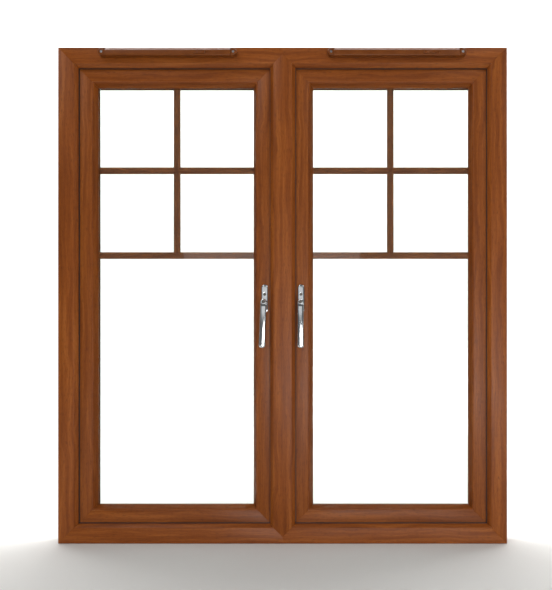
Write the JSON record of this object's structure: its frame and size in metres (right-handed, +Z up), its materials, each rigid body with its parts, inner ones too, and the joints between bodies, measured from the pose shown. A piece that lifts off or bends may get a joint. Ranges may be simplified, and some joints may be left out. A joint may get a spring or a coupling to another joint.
{
  "type": "casement window",
  "caption": "Wood-grained framed casement window with side-hung sashes that open outwards, bars in sealed glazing, locking handles and slot vents.",
  "frame": {"origin": "middle of the frame's bottom face, at half its depth", "axes": "+Z up, +X to the right as seen from the room, +Y from the room to the outside"},
  "size_m": [1.19, 0.1143, 1.315],
  "materials": {
    "frame_foil": "satin brown wood-grained foil on PVC",
    "bar_foil": "satin brown wood-grained foil on a bar in the cavity",
    "vent_plastic": "satin brown moulded plastic",
    "clear_glass": "clear float glass",
    "handle_chrome": "bright plated",
    "button_metal": "satin lock cylinder",
    "zinc_steel": "zinc-plated or stainless hardware",
    "spacer_metal": "satin spacer",
    "seal_rubber": "matt black seal",
    "packer_plastic": "moulded packer"
  },
  "bodies": {
    "frame": {"outer_frame": "frame_foil", "mullion_steel": "zinc_steel", "stay_screws": "zinc_steel", "vent_screws": "zinc_steel", "left_weatherseal": "seal_rubber", "left_stay_tracks": "zinc_steel", "left_keeps": "zinc_steel", "left_vent_canopy": "vent_plastic", "left_vent_end_caps": "vent_plastic", "left_vent_hood": "vent_plastic", "right_weatherseal": "seal_rubber", "right_stay_tracks": "zinc_steel", "right_keeps": "zinc_steel", "right_vent_canopy": "vent_plastic", "right_vent_end_caps": "vent_plastic", "right_vent_hood": "vent_plastic"},
    "left_links": {"left_stay_links": "zinc_steel"},
    "left_sash": {"left_sash_frame": "frame_foil", "left_glazing_beads": "frame_foil", "left_outer_pane": "clear_glass", "left_inner_pane": "clear_glass", "left_spacer": "spacer_metal", "left_georgian_bars": "bar_foil", "left_glazing_seals": "seal_rubber", "left_glass_packers": "packer_plastic", "left_espag_lock": "zinc_steel", "left_stay_arms": "zinc_steel", "left_handle_base": "handle_chrome", "left_handle_screws": "zinc_steel"},
    "left_shoes": {"left_stay_shoes": "zinc_steel"},
    "left_handle": {"left_handle_lever": "handle_chrome", "left_spindle": "zinc_steel"},
    "left_button": {"left_lock_button": "button_metal"},
    "left_rods": {"left_drive_rods": "zinc_steel", "left_cam_rollers": "zinc_steel"},
    "left_shutter": {"left_vent_slider": "vent_plastic"},
    "right_links": {"right_stay_links": "zinc_steel"},
    "right_sash": {"right_sash_frame": "frame_foil", "right_glazing_beads": "frame_foil", "right_outer_pane": "clear_glass", "right_inner_pane": "clear_glass", "right_spacer": "spacer_metal", "right_georgian_bars": "bar_foil", "right_glazing_seals": "seal_rubber", "right_glass_packers": "packer_plastic", "right_espag_lock": "zinc_steel", "right_stay_arms": "zinc_steel", "right_handle_base": "handle_chrome", "right_handle_screws": "zinc_steel"},
    "right_shoes": {"right_stay_shoes": "zinc_steel"},
    "right_handle": {"right_handle_lever": "handle_chrome", "right_spindle": "zinc_steel"},
    "right_button": {"right_lock_button": "button_metal"},
    "right_rods": {"right_drive_rods": "zinc_steel", "right_cam_rollers": "zinc_steel"},
    "right_shutter": {"right_vent_slider": "vent_plastic"}
  },
  "joints": [
    {"name": "left_sash_open", "type": "hinge", "parent": "frame", "child": "left_links", "pos_m": [-0.334, 0.004, 0.6575], "axis": [0, 0, -1], "range_deg": [0, 70]},
    {"name": "left_sash_swing", "type": "hinge", "parent": "left_links", "child": "left_sash", "pos_m": [-0.444, 0.004, 0.6575], "axis": [0, 0, 1], "range_deg": [0, 140]},
    {"name": "left_shoe_turn", "type": "hinge", "parent": "left_sash", "child": "left_shoes", "pos_m": [-0.554, 0.004, 0.6575], "axis": [0, 0, -1], "range_deg": [0, 70]},
    {"name": "left_handle_turn", "type": "hinge", "parent": "left_sash", "child": "left_handle", "pos_m": [-0.0485, -0.024, 0.64], "axis": [0, 1, 0], "range_deg": [0, 90]},
    {"name": "left_rod_slide", "type": "slide", "parent": "left_sash", "child": "left_rods", "axis": [0, 0, -1], "range_m": [0, 0.019]},
    {"name": "left_button_press", "type": "slide", "parent": "left_handle", "child": "left_button", "axis": [0, 1, 0], "range_m": [0, 0.003], "stiffness_N_per_m": 400, "springref_m": -0.004},
    {"name": "left_vent_slide", "type": "slide", "parent": "frame", "child": "left_shutter", "axis": [1, 0, 0], "range_m": [0, 0.012]},
    {"name": "right_sash_open", "type": "hinge", "parent": "frame", "child": "right_links", "pos_m": [0.334, 0.004, 0.6575], "axis": [0, 0, 1], "range_deg": [0, 70]},
    {"name": "right_sash_swing", "type": "hinge", "parent": "right_links", "child": "right_sash", "pos_m": [0.444, 0.004, 0.6575], "axis": [0, 0, -1], "range_deg": [0, 140]},
    {"name": "right_shoe_turn", "type": "hinge", "parent": "right_sash", "child": "right_shoes", "pos_m": [0.554, 0.004, 0.6575], "axis": [0, 0, 1], "range_deg": [0, 70]},
    {"name": "right_handle_turn", "type": "hinge", "parent": "right_sash", "child": "right_handle", "pos_m": [0.0485, -0.024, 0.64], "axis": [0, -1, 0], "range_deg": [0, 90]},
    {"name": "right_rod_slide", "type": "slide", "parent": "right_sash", "child": "right_rods", "axis": [0, 0, -1], "range_m": [0, 0.019]},
    {"name": "right_button_press", "type": "slide", "parent": "right_handle", "child": "right_button", "axis": [0, 1, 0], "range_m": [0, 0.003], "stiffness_N_per_m": 400, "springref_m": -0.004},
    {"name": "right_vent_slide", "type": "slide", "parent": "frame", "child": "right_shutter", "axis": [1, 0, 0], "range_m": [0, 0.012]}
  ],
  "couplings": [
    {"joint": "left_sash_swing", "follows": "left_sash_open", "ratio": 2},
    {"joint": "left_shoe_turn", "follows": "left_sash_open", "ratio": 1},
    {"joint": "left_rod_slide", "follows": "left_handle_turn", "m_per_rad": 0.012096},
    {"joint": "right_sash_swing", "follows": "right_sash_open", "ratio": 2},
    {"joint": "right_shoe_turn", "follows": "right_sash_open", "ratio": 1},
    {"joint": "right_rod_slide", "follows": "right_handle_turn", "m_per_rad": 0.012096}
  ]
}
